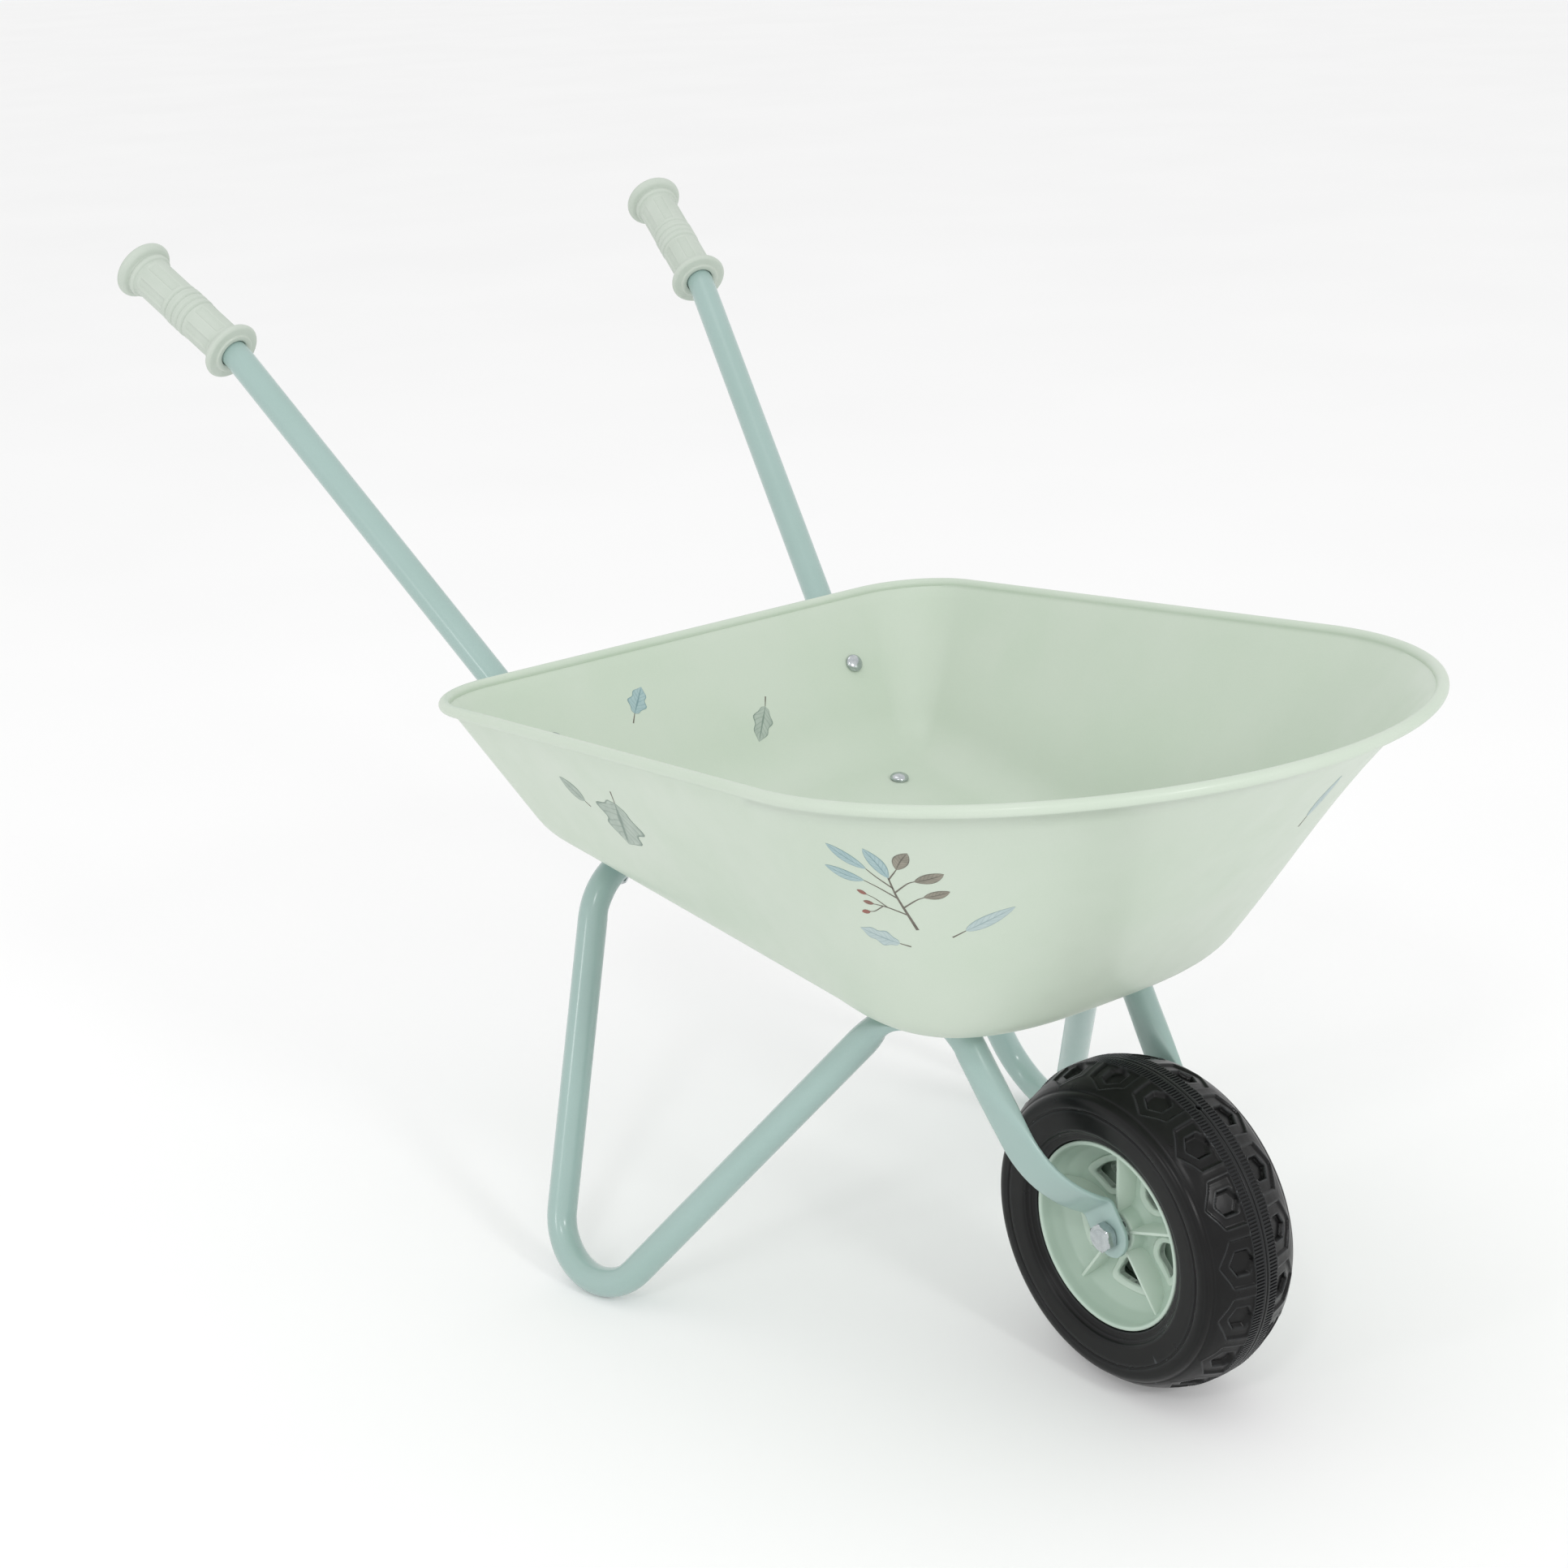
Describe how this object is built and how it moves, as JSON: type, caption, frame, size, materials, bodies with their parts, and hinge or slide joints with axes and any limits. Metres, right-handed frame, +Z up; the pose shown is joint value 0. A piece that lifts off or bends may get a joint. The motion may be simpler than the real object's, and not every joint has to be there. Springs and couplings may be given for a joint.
{
  "type": "wheelbarrow",
  "caption": "Child-size wheelbarrow: painted pressed tray on bent tube rails and splayed tube legs, moulded grips, and a ribbed plastic wheel that spins on a bolt axle.",
  "frame": {"origin": "on the ground, at the centre of the bounding box seen from above", "axes": "+X forward from the grips to the wheel, +Y left, +Z up"},
  "size_m": [0.7578, 0.3896, 0.5193],
  "materials": {
    "tray_paint": "satin",
    "tube_paint": "satin powder coat",
    "grip_plastic": "soft matte",
    "hub_plastic": "satin",
    "tyre_plastic": "semi-matte black",
    "zinc": "zinc plated"
  },
  "bodies": {
    "frame": {"tray": "tray_paint", "rail_left": "tube_paint", "rail_right": "tube_paint", "leg_frame": "tube_paint", "grip_left": "grip_plastic", "grip_right": "grip_plastic", "wall_left_bolt": "zinc", "wall_left_washer": "zinc", "wall_left_nut": "zinc", "wall_right_bolt": "zinc", "wall_right_washer": "zinc", "wall_right_nut": "zinc", "rear_left_bolt": "zinc", "rear_left_washer": "zinc", "rear_left_nut": "zinc", "rear_right_bolt": "zinc", "rear_right_washer": "zinc", "rear_right_nut": "zinc", "front_left_bolt": "zinc", "front_left_washer": "zinc", "front_left_nut": "zinc", "front_right_bolt": "zinc", "front_right_washer": "zinc", "front_right_nut": "zinc", "leg_bolt_left": "zinc", "leg_bolt_right": "zinc", "axle_bolt": "zinc", "axle_nut": "zinc", "axle_sleeve": "zinc", "axle_spacer_left": "zinc", "axle_spacer_right": "zinc"},
    "wheel": {"tyre": "tyre_plastic", "hub_left": "hub_plastic", "hub_right": "hub_plastic"}
  },
  "joints": [
    {"name": "wheel_spin", "type": "hinge", "parent": "frame", "child": "wheel", "pos_m": [0.2598, 0, 0.082], "axis": [0, 1, 0], "continuous": true}
  ]
}
